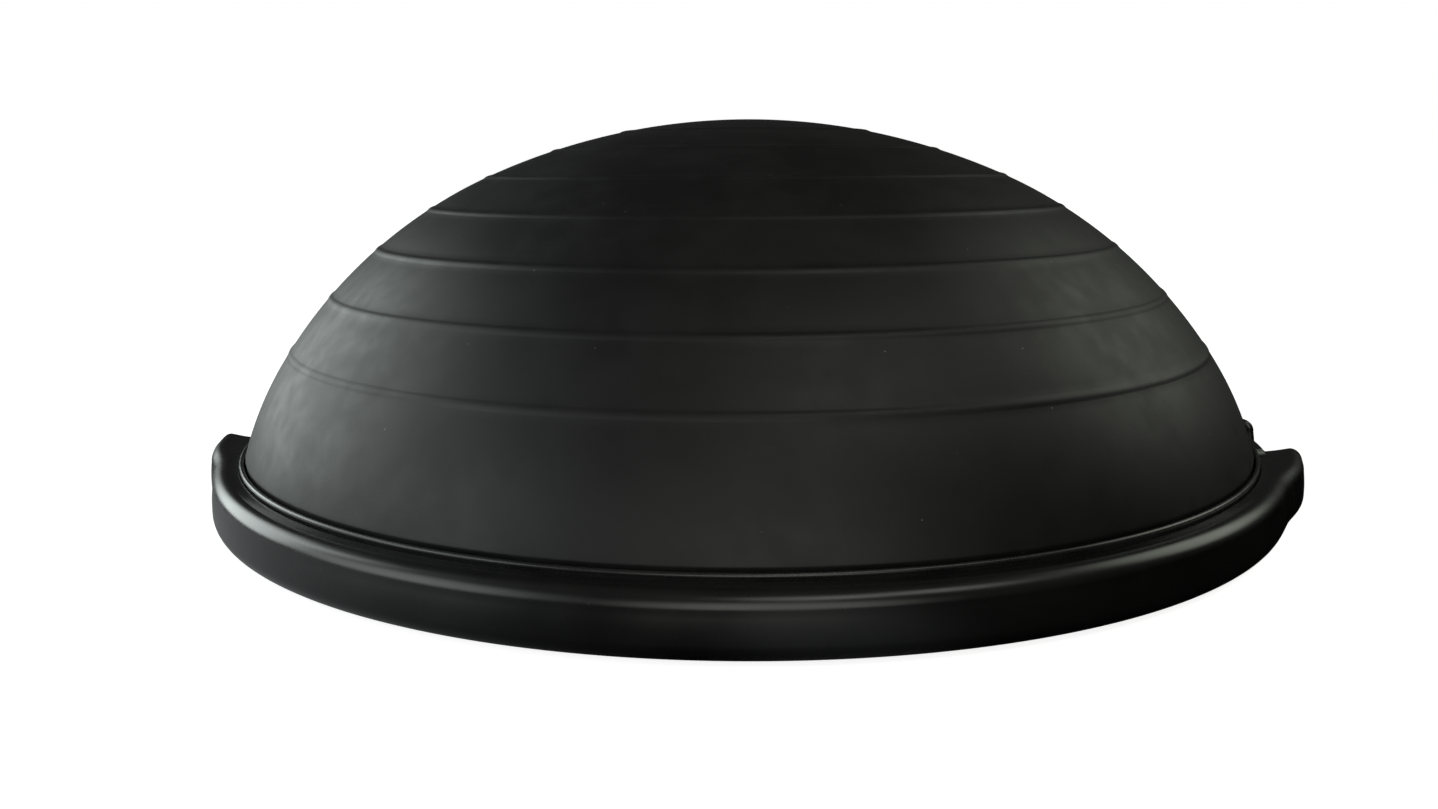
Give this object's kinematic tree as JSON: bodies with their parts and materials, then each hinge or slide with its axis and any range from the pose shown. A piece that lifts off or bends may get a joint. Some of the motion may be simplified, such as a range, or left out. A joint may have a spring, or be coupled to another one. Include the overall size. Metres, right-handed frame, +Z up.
{
  "type": "balance dome trainer",
  "caption": "Half-dome balance trainer: inflated ribbed rubber dome clamped to a round platform with side hand holds and a flat non-slip underside.",
  "frame": {"origin": "centre of the underside, on the floor plane", "axes": "+Z up through the crown of the dome; the two hand holds lie on the X axis"},
  "size_m": [0.666, 0.6348, 0.222],
  "materials": {
    "dome_rubber": "satin, fine moulded grain",
    "rim_plastic": "semi-gloss",
    "trim_vinyl": "smooth satin",
    "base_plastic": "moulded matte",
    "mat_rubber": "pebbled non-slip",
    "clamp_plastic": "glass-filled, matte",
    "seal_rubber": "matte",
    "insert_brass": "turned",
    "screw_steel": "zinc plated",
    "valve_plastic": "smooth"
  },
  "bodies": {
    "platform": {"base_plate": "base_plastic", "deck_cover": "base_plastic", "deck_mat": "mat_rubber", "grip_ring": "mat_rubber", "handle_rim": "rim_plastic", "dome_trim": "trim_vinyl", "clamp_ring": "clamp_plastic", "flange_seal": "seal_rubber", "clamp_inserts": "insert_brass", "clamp_screws": "screw_steel", "clamp_washers": "seal_rubber", "rim_screws": "screw_steel", "cover_screws": "screw_steel", "valve_body": "valve_plastic", "valve_seal": "seal_rubber", "valve_washer": "screw_steel", "valve_nut": "valve_plastic"},
    "dome": {"dome_bladder": "dome_rubber"},
    "plug": {"valve_plug": "valve_plastic"}
  },
  "joints": [
    {"name": "dome_press", "type": "slide", "parent": "platform", "child": "dome", "axis": [0, 0, -1], "range_m": [0, 0.025], "stiffness_N_per_m": 12000, "springref_m": -0.006, "deforming": ["dome_bladder"]},
    {"name": "plug_pull", "type": "slide", "parent": "platform", "child": "plug", "axis": [0, 0, -1], "range_m": [0, 0.035]}
  ]
}
